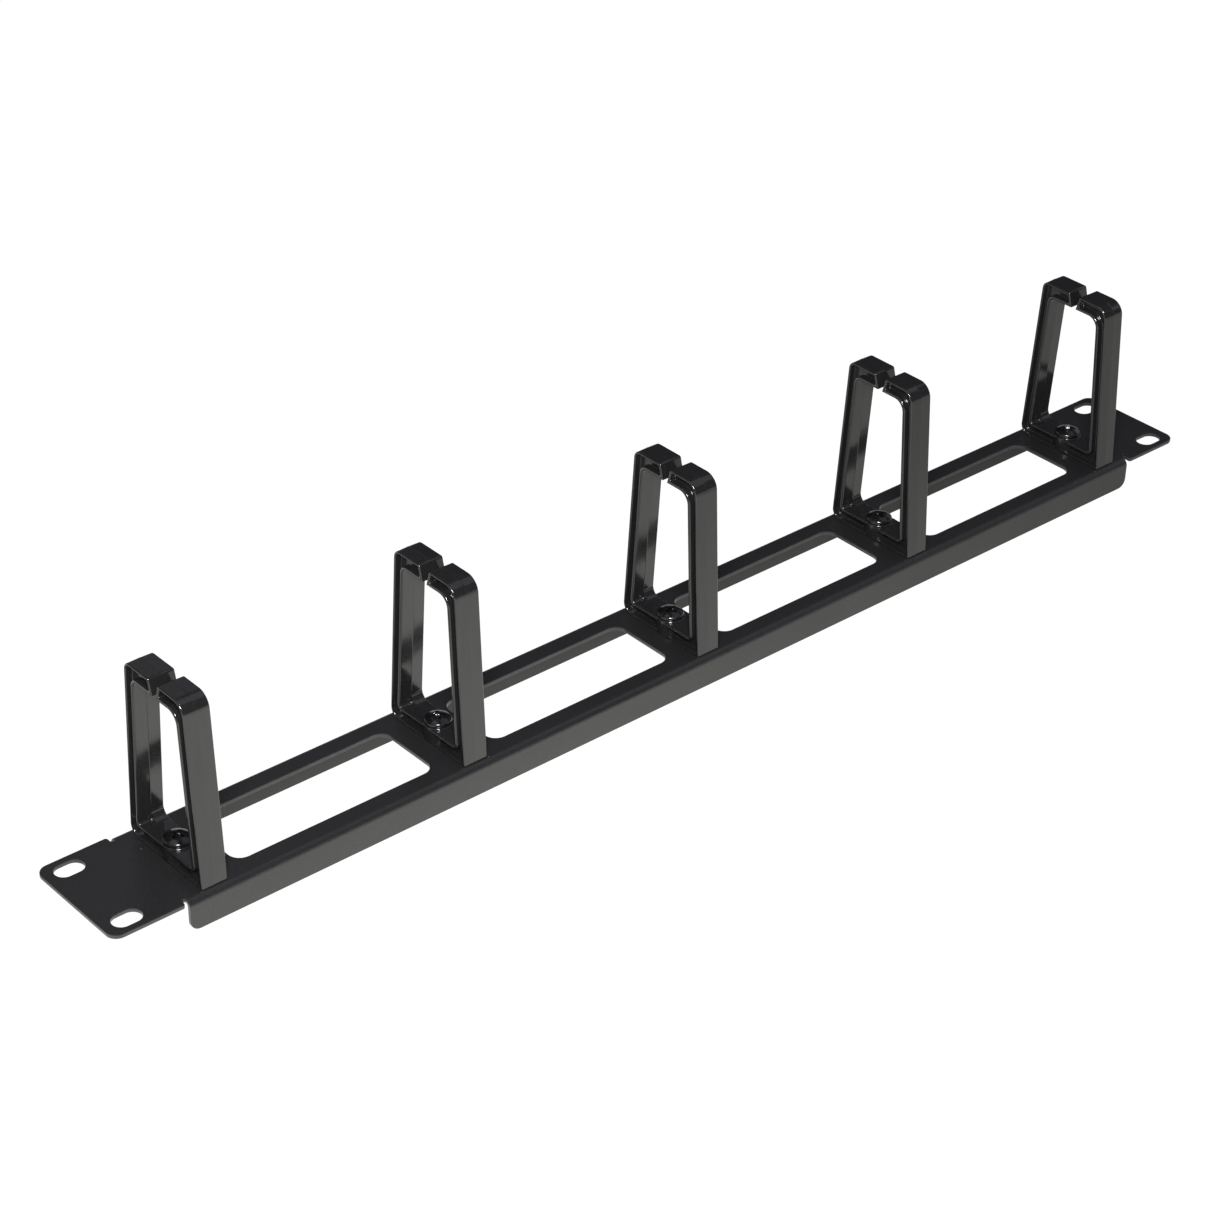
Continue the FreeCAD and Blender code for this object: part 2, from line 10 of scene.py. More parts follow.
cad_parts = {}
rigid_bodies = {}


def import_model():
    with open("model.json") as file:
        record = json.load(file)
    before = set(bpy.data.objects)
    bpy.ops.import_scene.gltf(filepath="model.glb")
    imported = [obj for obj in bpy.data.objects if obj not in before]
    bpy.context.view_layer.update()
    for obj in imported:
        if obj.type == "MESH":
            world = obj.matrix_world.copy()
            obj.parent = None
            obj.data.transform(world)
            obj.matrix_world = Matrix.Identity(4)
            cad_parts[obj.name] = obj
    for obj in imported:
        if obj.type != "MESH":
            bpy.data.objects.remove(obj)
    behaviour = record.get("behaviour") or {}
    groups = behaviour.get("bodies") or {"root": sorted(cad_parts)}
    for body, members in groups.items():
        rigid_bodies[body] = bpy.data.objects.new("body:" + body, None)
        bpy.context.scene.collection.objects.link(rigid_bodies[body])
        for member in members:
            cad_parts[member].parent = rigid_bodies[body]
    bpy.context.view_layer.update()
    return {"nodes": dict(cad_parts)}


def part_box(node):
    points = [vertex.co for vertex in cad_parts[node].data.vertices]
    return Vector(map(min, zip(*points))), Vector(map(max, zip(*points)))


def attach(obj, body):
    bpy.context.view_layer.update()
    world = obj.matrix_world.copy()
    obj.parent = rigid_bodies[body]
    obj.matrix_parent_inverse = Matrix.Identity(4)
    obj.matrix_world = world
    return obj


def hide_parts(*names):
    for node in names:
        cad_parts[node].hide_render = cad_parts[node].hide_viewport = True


# Horizontal cable manager: a folded panel with powder coat, five moulded rings, black hardware.
# Metres throughout. X runs along the panel, -Y is its front edge, +Z is out of its face.

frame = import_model()
ringCount = 5
mm = 0.001
print("frame loaded:", len(frame["nodes"]), "nodes")


meshing = {
    "mergeWithin": 2e-7,          # points nearer than this are one point
    "emptyUnder": 1e-8,           # edges shorter than this are dissolved
    "sharpAngle": 38,             # degrees between faces, for the panel and the rings
    "flatWeight": 80,             # how strongly large faces hold their own normal
    "turnSteps": 96,              # columns round a turned piece
}


def gridFaces(rows, columns, start=0):
    # Quads between neighbouring rows and columns; the last column joins the first.
    i = np.arange(rows - 1)[:, None]
    j = np.arange(columns)[None, :]
    k = (j + 1) % columns
    quads = [i * columns + j, i * columns + k, (i + 1) * columns + k, (i + 1) * columns + j]
    return np.stack(quads, -1).reshape(-1, 4) + start


def turned(radii, heights, turn):
    # A surface about the Z axis: (radius cos turn, radius sin turn, height) at each row and column.
    heights = np.broadcast_to(heights, np.broadcast(radii, turn).shape)
    return np.stack([radii * np.cos(turn), radii * np.sin(turn), heights], -1)


def wrapMesh(name, points, faces, wear=None, dissolve=True):
    # One mesh from loose grids: doubles are merged, then the normals are turned outwards.
    mesh = bpy.data.meshes.new(name)
    mesh.from_pydata(points.tolist(), [], [face for part in faces for face in part.tolist()])
    if wear is not None:
        rub = mesh.attributes.new("wear", "FLOAT", "POINT")
        rub.data.foreach_set("value", wear.astype(np.float32))
    shape = bmesh.new()
    shape.from_mesh(mesh)
    bmesh.ops.remove_doubles(shape, verts=shape.verts, dist=meshing["mergeWithin"])
    if dissolve:
        bmesh.ops.dissolve_degenerate(shape, edges=shape.edges, dist=meshing["emptyUnder"])
    bmesh.ops.recalc_face_normals(shape, faces=shape.faces)
    shape.to_mesh(mesh)
    shape.free()
    return mesh


def addObject(name, data):
    # Pieces stay at the origin, unturned: their place is in the mesh.
    made = bpy.data.objects.new(name, data)
    bpy.context.scene.collection.objects.link(made)
    return made


def finishPiece(name, mesh, material, node,
                sharpAngle=meshing["sharpAngle"], creaseX=None):
    # Smooth shading with sharp edges by angle, the finish, and what the frame needs to know.
    mesh.polygons.foreach_set("use_smooth", np.ones(len(mesh.polygons), bool))
    mesh.set_sharp_from_angle(angle=math.radians(sharpAngle))
    if creaseX is not None:
        markCrease(mesh, creaseX)
    mesh.materials.clear()
    mesh.materials.append(material)
    piece = addObject(name, mesh)
    flat = piece.modifiers.new("flat faces stay flat", "WEIGHTED_NORMAL")
    flat.keep_sharp = True
    flat.weight = meshing["flatWeight"]
    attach(piece, "root")
    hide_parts(node)


def markCrease(mesh, x):
    # The two halves of the mould meet in the plane at x: its edges stay sharp.
    place = np.zeros(len(mesh.vertices) * 3, np.float32)
    mesh.vertices.foreach_get("co", place)
    onPlane = np.abs(place.reshape(-1, 3)[:, 0] - x) < 0.002 * mm
    ends = np.zeros(len(mesh.edges) * 2, np.int32)
    mesh.edges.foreach_get("vertices", ends)
    both = onPlane[ends.reshape(-1, 2)].all(1)
    if "sharp_edge" not in mesh.attributes:
        mesh.attributes.new("sharp_edge", "BOOLEAN", "EDGE")
    sharp = np.zeros(len(mesh.edges), bool)
    mesh.attributes["sharp_edge"].data.foreach_get("value", sharp)
    mesh.attributes["sharp_edge"].data.foreach_set("value", sharp | both)


coatLook = {
    "tone": (0.0170, 0.0167, 0.0174),
    "grainTones": (0.84, 1.2),    # low and high spots of the grain, as shares of the tone
    "wornTone": 2.3,              # where an edge is rubbed, as a share of the tone
    "roughness": (0.34, 0.43),    # in slow clouds
    "wornGloss": 0.1,             # roughness that a rubbed edge loses
    "specular": 0.48,
    "grainSize": 0.55 * mm,
    "grainHeight": 0.045 * mm,
    "peelSize": 2.6 * mm,
    "peelHeight": 0.03 * mm,
    "cloudSize": 38 * mm,
    "speckSpacing": 6 * mm,       # dust: one fleck at most in each cell of this size
    "speckSize": 0.22 * mm,
    "speckShare": 0.07,           # share of the cells that have one
    "speckTone": (0.16, 0.16, 0.17),
}
plasticLook = {
    "tone": (0.0140, 0.0137, 0.0143),
    "streakTones": (0.9, 1.12),   # shares of the tone
    "roughness": (0.08, 0.14),
    "specular": 0.5,
    "streakSize": 1.1 * mm,       # draw marks along the legs
    "streakStretch": (1, 1, 0.05),
    "streakHeight": 0.0025 * mm,
    "sinkSize": 9 * mm,           # slow unevenness that bends reflections
    "sinkHeight": 0.06 * mm,
    "pitSize": 0.3 * mm,
    "pitRoughness": 0.05,
}
steelLook = {
    "tone": (0.005, 0.005, 0.0055),
    "worn": (0.035, 0.034, 0.033),
    "wornShare": 0.7,
    "roughness": (0.10, 0.25),
    "specular": 0.5,
    "patchSize": 1.6 * mm,
    "scratchSize": 0.25 * mm,
    "scratchHeight": 0.006 * mm,
}


def newMaterial(name):
    made = bpy.data.materials.new(name)
    made.use_nodes = True
    nodes = made.node_tree.nodes
    return made, nodes, made.node_tree.links, nodes["Principled BSDF"]


def newFinish(name, specular):
    # A material and the place on the piece that its patterns follow.
    made, nodes, links, shader = newMaterial(name)
    shader.inputs["Specular IOR Level"].default_value = specular
    return made, nodes, links, shader, nodes.new("ShaderNodeTexCoord").outputs["Object"]


def addWear(nodes):
    # How much an edge is rubbed, stored with the mesh.
    wear = nodes.new("ShaderNodeAttribute")
    wear.attribute_name = "wear"
    return wear.outputs["Fac"]


def addNoise(nodes, links, source, size, detail=3.0, stretch=(1, 1, 1), rough=0.5):
    # Noise whose patches are about this size.
    mapping = nodes.new("ShaderNodeMapping")
    mapping.inputs["Scale"].default_value = [s / size for s in stretch]
    links.new(source, mapping.inputs["Vector"])
    noise = nodes.new("ShaderNodeTexNoise")
    noise.inputs["Scale"].default_value = 1.0
    noise.inputs["Detail"].default_value = detail
    noise.inputs["Roughness"].default_value = rough
    links.new(mapping.outputs["Vector"], noise.inputs["Vector"])
    return noise.outputs["Fac"]


def addRange(nodes, links, value, fromLow, fromHigh, toLow, toHigh):
    # A straight ramp, level beyond both ends.
    ramp = nodes.new("ShaderNodeMapRange")
    ends = {"From Min": fromLow, "From Max": fromHigh, "To Min": toLow, "To Max": toHigh}
    for label, number in ends.items():
        ramp.inputs[label].default_value = number
    links.new(value, ramp.inputs["Value"])
    return ramp.outputs["Result"]


def addMix(nodes, links, factor, first, second):
    # From the first colour to the second; each is a fixed one or a socket.
    mix = nodes.new("ShaderNodeMix")
    mix.data_type = "RGBA"
    links.new(factor, mix.inputs["Factor"])
    for socket, value in ((mix.inputs[6], first), (mix.inputs[7], second)):
        if isinstance(value, tuple):
            socket.default_value = (*value, 1)
        else:
            links.new(value, socket)
    return mix.outputs[2]


def addMath(nodes, links, kind, first, second):
    # One sum of two values; each is a number or a socket.
    node = nodes.new("ShaderNodeMath")
    node.operation = kind
    for socket, value in zip(node.inputs, (first, second)):
        if isinstance(value, (int, float)):
            socket.default_value = value
        else:
            links.new(value, socket)
    return node.outputs[0]


def addBump(nodes, links, height, distance, under=None):
    bump = nodes.new("ShaderNodeBump")
    bump.inputs["Strength"].default_value = 1.0
    bump.inputs["Distance"].default_value = distance
    links.new(height, bump.inputs["Height"])
    if under is not None:
        links.new(under, bump.inputs["Normal"])
    return bump.outputs["Normal"]


def shade(tone, factor):
    # The same tone, lighter or darker.
    return tuple(c * factor for c in tone)


def makeCoat(look):
    # Powder coat: a fine even grain, a little orange peel under it, smoother and paler on edges.
    made, nodes, links, shader, place = newFinish("powderCoat", look["specular"])
    wear = addWear(nodes)
    tone, low, high = look["tone"], *look["grainTones"]
    grain = addNoise(nodes, links, place, look["grainSize"], 2.0, rough=0.6)
    peel = addNoise(nodes, links, place, look["peelSize"], 2.0)
    cloud = addNoise(nodes, links, place, look["cloudSize"])
    spots = addRange(nodes, links, grain, 0.35, 0.68, 0, 1)
    body = addMix(nodes, links, spots, shade(tone, low), shade(tone, high))
    patches = addRange(nodes, links, peel, 0.3, 0.7, 0.25, 0.8)
    rubbed = addMath(nodes, links, "MULTIPLY", wear, patches)
    colour = addMix(nodes, links, rubbed, body, shade(tone, look["wornTone"]))
    # Dust: a dot in the middle of a few of the cells.
    cells = nodes.new("ShaderNodeTexVoronoi")
    cells.inputs["Scale"].default_value = 1 / look["speckSpacing"]
    links.new(place, cells.inputs["Vector"])
    split = nodes.new("ShaderNodeSeparateColor")
    links.new(cells.outputs["Color"], split.inputs["Color"])
    reach = look["speckSize"] / look["speckSpacing"]
    dot = addMath(nodes, links, "LESS_THAN", cells.outputs["Distance"], reach)
    chosen = addMath(nodes, links, "GREATER_THAN", split.outputs[0], 1 - look["speckShare"])
    dust = addMath(nodes, links, "MULTIPLY", dot, chosen)
    dusty = addMix(nodes, links, dust, colour, look["speckTone"])
    links.new(dusty, shader.inputs["Base Color"])
    soft = addRange(nodes, links, cloud, 0.3, 0.7, *look["roughness"])
    smoother = addMath(nodes, links, "MULTIPLY", wear, look["wornGloss"])
    gloss = addMath(nodes, links, "SUBTRACT", soft, smoother)
    links.new(gloss, shader.inputs["Roughness"])
    under = addBump(nodes, links, peel, look["peelHeight"])
    links.new(addBump(nodes, links, grain, look["grainHeight"], under), shader.inputs["Normal"])
    return made


def makePlastic(look):
    # Moulded plastic: gloss with faint draw marks along the legs, soft sinks and small pits.
    made, nodes, links, shader, place = newFinish("mouldedPlastic", look["specular"])
    low, high = look["streakTones"]
    streak = addNoise(nodes, links, place, look["streakSize"], stretch=look["streakStretch"])
    swirl = addNoise(nodes, links, place, look["sinkSize"], 2.0)
    pits = addNoise(nodes, links, place, look["pitSize"], 2.0)
    marks = addRange(nodes, links, streak, 0.35, 0.65, 0, 1)
    colour = addMix(nodes, links, marks, shade(look["tone"], low), shade(look["tone"], high))
    links.new(colour, shader.inputs["Base Color"])
    gloss = addRange(nodes, links, swirl, 0.3, 0.7, *look["roughness"])
    grit = addRange(nodes, links, pits, 0.45, 0.75, 0, look["pitRoughness"])
    links.new(addMath(nodes, links, "ADD", gloss, grit), shader.inputs["Roughness"])
    under = addBump(nodes, links, streak, look["streakHeight"])
    links.new(addBump(nodes, links, swirl, look["sinkHeight"], under), shader.inputs["Normal"])
    return made


def makeSteel(look):
    # Black plated steel: dark gloss with a fine grain and worn, brighter edges.
    made, nodes, links, shader, place = newFinish("blackSteel", look["specular"])
    wear = addWear(nodes)
    scratch = addNoise(nodes, links, place, look["scratchSize"])
    patch = addNoise(nodes, links, place, look["patchSize"])
    share = addRange(nodes, links, patch, 0.4, 0.7, 0, look["wornShare"])
    rubbed = addMath(nodes, links, "MULTIPLY", wear, share)
    colour = addMix(nodes, links, rubbed, look["tone"], look["worn"])
    links.new(colour, shader.inputs["Base Color"])
    gloss = addRange(nodes, links, patch, 0.3, 0.7, *look["roughness"])
    links.new(gloss, shader.inputs["Roughness"])
    links.new(addBump(nodes, links, scratch, look["scratchHeight"]), shader.inputs["Normal"])
    return made


coat = makeCoat(coatLook)
plastic = makePlastic(plasticLook)
steel = makeSteel(steelLook)
print("finishes ready")


panelForm = {
    "gauge": 1.5 * mm,
    "bendRadius": 1.1 * mm,       # inside the fold
    "earLength": 27.4 * mm,
    "earCorner": 4.0 * mm,
    "flangeCorner": 3.5 * mm,
    "reliefWidth": 1.4 * mm,
    "reliefDepth": 2.7 * mm,
    "reliefCorner": 1.0 * mm,     # on the ear's side of the notch
    "slot": (10.2 * mm, 6.8 * mm),
    "slotInset": 8.75 * mm,       # from the panel's end
    "slotSpread": 31.75 * mm,
    "window": (77.5 * mm, 27.6 * mm),
    "windowCorner": 4.5 * mm,
    "screwHole": 2.75 * mm,
    "softEdge": 0.28 * mm,        # coat rounds every cut edge
    "softSteps": 4,
    "bendSteps": 10,
    "roundSteps": 12,
}


def arcPoints(centre, radius, startDeg, endDeg, steps):
    # Points at equal angles on an arc about a centre.
    turn = np.radians(np.linspace(startDeg, endDeg, steps + 1))
    return np.array(centre) + radius * np.stack([np.cos(turn), np.sin(turn)], -1)


def roundedBox(centre, size, radius, steps):
    # A rectangle with quarter rounds, anticlockwise.
    hx, hy = size[0] / 2 - radius, size[1] / 2 - radius
    corners = [((hx, hy), 0), ((-hx, hy), 90), ((-hx, -hy), 180), ((hx, -hy), 270)]
    rounds = [arcPoints(np.add(centre, c), radius, a, a + 90, steps) for c, a in corners]
    return np.concatenate(rounds)


def shiftLoop(loop, distance):
    # Every point moves to the left of the way the loop runs, along the bisector of its corner.
    ahead = np.roll(loop, -1, 0) - loop
    ahead /= np.linalg.norm(ahead, axis=1)[:, None]
    left = np.stack([-ahead[:, 1], ahead[:, 0]], -1)
    both = left + np.roll(left, 1, 0)
    return loop + distance * 2 * both / (both ** 2).sum(1)[:, None]


def thinLoop(loop):
    # Leaves out points that lie on the one before them.
    apart = np.linalg.norm(loop - np.roll(loop, 1, 0), axis=1) > 0.001 * mm
    return loop[apart]


def bendSizes(form, high):
    # Radius outside the fold, where the bend starts across the panel, and its length at mid gauge.
    outer = form["bendRadius"] + form["gauge"]
    return outer, high.y - outer, math.pi / 2 * (form["bendRadius"] + form["gauge"] / 2)


def foldSheet(flat, depth, form, high):
    # From the flat pattern (x, s) and a depth under the face: past the bend line the point turns
    # about the bend's axis on a radius that its depth shortens, and past the bend it runs straight
    # down. The ears, past the relief notches, stay level.
    x, s = flat[:, 0], flat[:, 1]
    outer, start, length = bendSizes(form, high)
    folds = np.abs(x) < high.x - form["earLength"] + form["reliefWidth"] / 2
    turn = np.where(folds, np.clip((np.abs(s) - start) / length, 0, 1) * math.pi / 2, 0)
    straight = np.where(folds, np.clip(np.abs(s) - start - length, 0, None), 0)
    side = np.sign(s)
    y = np.where(folds, side * (np.minimum(np.abs(s), start) + (outer - depth) * np.sin(turn)), s)
    z = high.z - outer + (outer - depth) * np.cos(turn) - straight
    return np.stack([x, y, z], -1)


def panelLoops(form, low, high):
    # The flat pattern: ears, round relief notches, flanges with round corners; then the openings.
    outer, bendStart, bendLength = bendSizes(form, high)
    rim = bendStart + bendLength + (high.z - outer - low.z)     # flange's lower edge in the flat
    bends = bendStart + bendLength * np.linspace(0, 1, form["bendSteps"] + 1)
    end = high.x - form["earLength"]
    steps = form["roundSteps"]
    ear, corner = form["earCorner"], form["flangeCorner"]
    notch, soft = form["reliefWidth"] / 2, form["reliefCorner"]
    notchFoot = high.y - form["reliefDepth"] + notch
    lines = bends[bends > notchFoot + 0.02 * mm][::-1]          # bend lines that reach the end
    quarter = np.concatenate([
        [(0, rim)],
        arcPoints((end - corner, rim - corner), corner, 90, 0, steps),          # flange corner
        np.stack([np.full(len(lines), end), lines], -1),
        arcPoints((end + notch, notchFoot), notch, 180, 360, steps),            # relief notch
        arcPoints((end + 2 * notch + soft, high.y - soft), soft, 180, 90, steps),
        arcPoints((high.x - ear, high.y - ear), ear, 90, 0, steps),             # ear corner
    ])
    right = np.concatenate([quarter, quarter[::-1] * (1, -1)])                  # clockwise
    whole = np.concatenate([right, right[::-1] * (-1, 1)])
    outline = thinLoop(whole[::-1])                                             # anticlockwise
    holes = []
    pitch = (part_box("ring_2")[0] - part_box("ring_1")[0]).x
    first = (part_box("ring_1")[0].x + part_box("ring_1")[1].x) / 2
    for n in range(ringCount - 1):
        middle = (first + pitch * (n + 0.5), 0)
        holes.append(roundedBox(middle, form["window"], form["windowCorner"], steps))
    for n in range(ringCount):
        holes.append(arcPoints((first + pitch * n, 0), form["screwHole"], 0, 360, 4 * steps))
    slotRound = form["slot"][1] / 2 - 0.001 * mm                # a hair less than half its height
    for signX in (-1, 1):
        for signY in (-1, 1):
            middle = (signX * (high.x - form["slotInset"]), signY * form["slotSpread"] / 2)
            holes.append(roundedBox(middle, form["slot"], slotRound, steps))
    return outline, [thinLoop(hole)[::-1] for hole in holes], bends, end


def fillBetween(loops, lineEnds):
    # Flat triangles inside the first loop and outside the others, with edges along the given lines.
    corners = np.concatenate(loops)
    starts = np.cumsum([0] + [len(loop) for loop in loops])
    regions = [list(range(starts[1]))]
    regions += [list(range(b - 1, a - 1, -1)) for a, b in zip(starts[1:], starts[2:])]
    lines = [(len(corners) + n, len(corners) + n + 1) for n in range(0, len(lineEnds), 2)]
    scale = 1000.0                                              # the filling is done in mm
    flat = [Vector(p) for p in (np.concatenate([corners, lineEnds]) * scale).tolist()]
    spots, _, triangles, _, _, origin = delaunay_2d_cdt(flat, lines, regions, 1, 1e-5)
    kept = [t for t, source in zip(triangles, origin) if list(source) == [0]]
    return np.array([list(p) for p in spots]) / scale, np.array(kept)


def buildPanel(form):
    # One closed skin: a rounded cut edge along every loop of the flat pattern and two faces between
    # them, all of it folded.
    low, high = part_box("panel")
    outline, holes, bends, end = panelLoops(form, low, high)
    edge, gauge = form["softEdge"], form["gauge"]
    quarter = np.radians(np.linspace(0, 90, form["softSteps"] + 1))
    opening, closing = edge * (1 - np.sin(quarter)), edge * (1 - np.cos(quarter))
    inset = np.concatenate([opening, closing])
    depth = np.concatenate([closing, gauge - opening])
    points, faces, wear = [], [], []
    count = 0
    for loop in [outline] + holes:
        # The cut edge: the loop's profile turns from the face through a quarter, down, and back.
        for i, d in zip(inset, depth):
            points.append(foldSheet(shiftLoop(loop, i), d, form, high))
            wear.append(np.full(len(loop), 1.0 - i / edge))
        faces.append(gridFaces(len(inset), len(loop), count))
        count += len(inset) * len(loop)
    # Both faces: the same flat triangles between the loops, with lines along each bend.
    lineEnds = np.array([(side * (end - edge), sign * s)
                         for sign in (-1, 1) for s in bends for side in (-1, 1)])
    spots, kept = fillBetween([shiftLoop(loop, edge) for loop in [outline] + holes], lineEnds)
    for d, order in ((0.0, slice(None)), (gauge, slice(None, None, -1))):
        points.append(foldSheet(spots, d, form, high))
        wear.append(np.zeros(len(spots)))
        faces.append(kept[:, order] + count)
        count += len(spots)
    mesh = wrapMesh("foldedPanel", np.concatenate(points), faces, np.concatenate(wear))
    finishPiece("foldedPanel", mesh, coat, "panel")


buildPanel(panelForm)
print("panel built")


ringForm = {
    "width": 9.6 * mm,
    "topSpan": 31.3 * mm,
    "legWall": 4.95 * mm,
    "topBar": 5.9 * mm,
    "baseBar": 5.8 * mm,
    "draft": 1.0,                 # degrees, both ways from the parting plane
    "outerRim": 0.9 * mm,
    "innerRim": 1.4 * mm,
    "web": 4.6 * mm,
    "slitMouth": 5.0 * mm,
    "slitThroat": 1.8 * mm,
    "slitEndWall": 1.0 * mm,
    # rear base, rear top, lip, slit foot, four inner corners, slit foot, lip, front top, front base
    "corners": (4.0, 3.0, 1.0, 0.35, 2.0, 0.9, 0.9, 4.0, 0.35, 1.0, 5.5, 0.6),
    "farFoot": 3.4,               # the far half of the mould has rounder inner feet
    "channelCorner": 0.5 * mm,
    "softEdge": 0.46 * mm,        # rims are rounded almost to a bead
    "channelEdge": 0.42 * mm,
    "innerRoll": (0.66 * mm, 0.62 * mm),     # the wider inner rim, hole side and channel side
    "channelFillet": 0.3 * mm,
    "leastCorner": 0.05 * mm,     # a corner never gets sharper than this
    "witness": 0.05 * mm,         # height of the parting line
    "witnessHalf": 0.2 * mm,      # and half its width
    "cornerSteps": 12,
    "bossRadius": 5.0 * mm,
    "bossRise": 0.1 * mm,
    "bossEdge": 0.3 * mm,
    "bore": 2.75 * mm,
}
# In the order of the corners: which lie round the hole, and which are its two feet.
hollowCorners = np.array([0, 0, 0, 0, 1, 1, 1, 1, 0, 0, 0, 0], bool)
footCorners = np.array([0, 0, 0, 0, 0, 1, 1, 0, 0, 0, 0, 0], bool)


def towards(start, end):
    # Unit arrows from each start to its end.
    return (end - start) / np.linalg.norm(end - start, axis=1)[:, None]


def loopOutline(form, tall, span, far, outer, inner, slit, floor, least):
    # Twelve lines n.p = c, set in by their insets, meet in twelve corners; each corner is rounded
    # by turning from its first tangent point to its last one about the centre on its bisector,
    # with one more point before and after it where the widest rounding of that corner would begin.
    lean = (span - form["topSpan"]) / 2 / tall
    flare = (form["slitMouth"] - form["slitThroat"]) / 2 / form["topBar"]
    slant, splay = math.hypot(1, lean), math.hypot(1, flare)
    legOut = span / 2 - outer * slant
    legIn = span / 2 - (form["legWall"] - inner) * slant
    wall = form["slitThroat"] / 2 - flare * (tall - form["topBar"]) + slit * splay
    top, under = tall - outer, tall - form["topBar"] + inner
    level, leg, side = (0, 1), (1, lean), (1, -flare)
    farLeg, farSide = (-1, lean), (-1, -flare)
    normals = np.array([level, leg, level, side, level, leg,
                        level, farLeg, level, farSide, level, farLeg], float)
    offsets = np.array([floor, legOut, top, wall, under, legIn,
                        form["baseBar"] - inner, legIn, under, wall, top, legOut])
    pairs = np.stack([normals, np.roll(normals, -1, 0)], 1)
    sums = np.stack([offsets, np.roll(offsets, -1)], 1)
    sharp = np.linalg.solve(pairs, sums[..., None])[..., 0]
    back = towards(sharp, np.roll(sharp, 1, 0))
    ahead = towards(sharp, np.roll(sharp, -1, 0))
    inset = np.repeat([outer, inner, outer], [3, 6, 3])
    inset = np.where(hollowCorners, inset, -inset)
    near = np.array(form["corners"])
    wide = np.where(footCorners, form["farFoot"], near)
    near, wide = (np.maximum(r * mm + inset, least) for r in (near, wide))
    radius = wide if far else near
    half = np.arccos((back * ahead).sum(1)) / 2
    bisector = towards(0, back + ahead)
    centre = sharp + bisector * (radius / np.sin(half))[:, None]
    first = sharp + back * (radius / np.tan(half))[:, None] - centre
    last = sharp + ahead * (radius / np.tan(half))[:, None] - centre
    sweep = (math.pi - 2 * half)[:, None]
    t = np.linspace(0, 1, form["cornerSteps"] + 1)[None, :]
    fromFirst, fromLast = np.sin((1 - t) * sweep)[..., None], np.sin(t * sweep)[..., None]
    blend = fromFirst * first[:, None] + fromLast * last[:, None]
    arc = centre[:, None] + blend / np.sin(sweep)[..., None]
    before, after = (sharp + way * (wide / np.tan(half))[:, None] for way in (back, ahead))
    return np.concatenate([before[:, None], arc, after[:, None]], 1).reshape(-1, 2)


def halfRing(form, tall, span, far):
    # The profile from the parting plane out over the wall, its soft edge, the rim, and down into
    # the side channel; every row is carried round the loop's outline, set in by the row's insets.
    half, web = form["width"] / 2, form["web"] / 2
    slope = math.tan(math.radians(form["draft"]))
    edge, lip, fillet = form["softEdge"], form["channelEdge"], form["channelFillet"]
    crown = half * slope + form["witness"]
    # Insets stand in the order outer wall, inner wall, slit, seat.
    rims = np.array([form["outerRim"], form["innerRim"], form["slitEndWall"], form["outerRim"]])
    innerEdge, innerLip = form["innerRoll"]
    roll = np.array([edge, innerEdge, edge, edge])
    lips = np.array([lip, innerLip, lip, lip])
    drafted = np.array([1, 1, 0, 0])                 # only the walls have draft
    least, small = form["leastCorner"], form["channelCorner"]
    rows = [(0, drafted * 0, least, 0), (form["witnessHalf"], drafted * form["witness"], least, 0),
            (half - edge, drafted * crown, least, 0)]
    for a in np.radians([22.5, 45, 67.5, 90]):       # over the soft edge
        x = half - edge + edge * math.sin(a)
        rows.append((x, drafted * crown + roll * (1 - math.cos(a)), least, 1))
    for a in np.radians([0, 30, 60, 90]):            # over the rim's other edge
        x = half - lip * (1 - math.cos(a))
        rows.append((x, drafted * crown + rims - lips + lips * math.sin(a), small, 0.6))
    down = (half - lip - web - fillet) * slope
    for a in np.radians([0, 30, 60, 90]):            # down the channel and round its fillet
        x = web + fillet * (1 - math.sin(a))
        inset = drafted * crown + rims + down + fillet * (1 - math.cos(a))
        rows.append((x, inset, small, 0))
    points, wear = [], []
    for x, insets, corner, rub in rows:
        outline = loopOutline(form, tall, span, far, *insets, corner)
        points.append(np.column_stack([np.full(len(outline), x), outline]))
        wear.append(np.full(len(outline), float(rub)))
    count = len(points[0])
    faces = [gridFaces(len(rows), count)]
    # The channel's floor: its outer run is joined straight across to its inner run.
    c = form["cornerSteps"] + 3                      # points at each of the twelve corners
    last = np.arange(12 * c) + (len(rows) - 1) * count
    outerRun = np.concatenate([last[:3 * c][::-1], last[9 * c:][::-1]])
    innerRun = last[3 * c:9 * c]
    faces.append(np.stack([outerRun[:-1], outerRun[1:], innerRun[1:], innerRun[:-1]], -1))
    return np.concatenate(points), faces, np.concatenate(wear)


def turnedSolid(name, profile):
    # A closed solid of revolution: each (radius, height) of the profile goes round the Z axis.
    turn = np.linspace(0, 2 * math.pi, meshing["turnSteps"], endpoint=False)
    grid = turned(*(column[:, None] for column in np.array(profile).T), turn)
    faces = [gridFaces(len(profile), len(turn))]
    return addObject(name, wrapMesh(name, grid.reshape(-1, 3), faces))


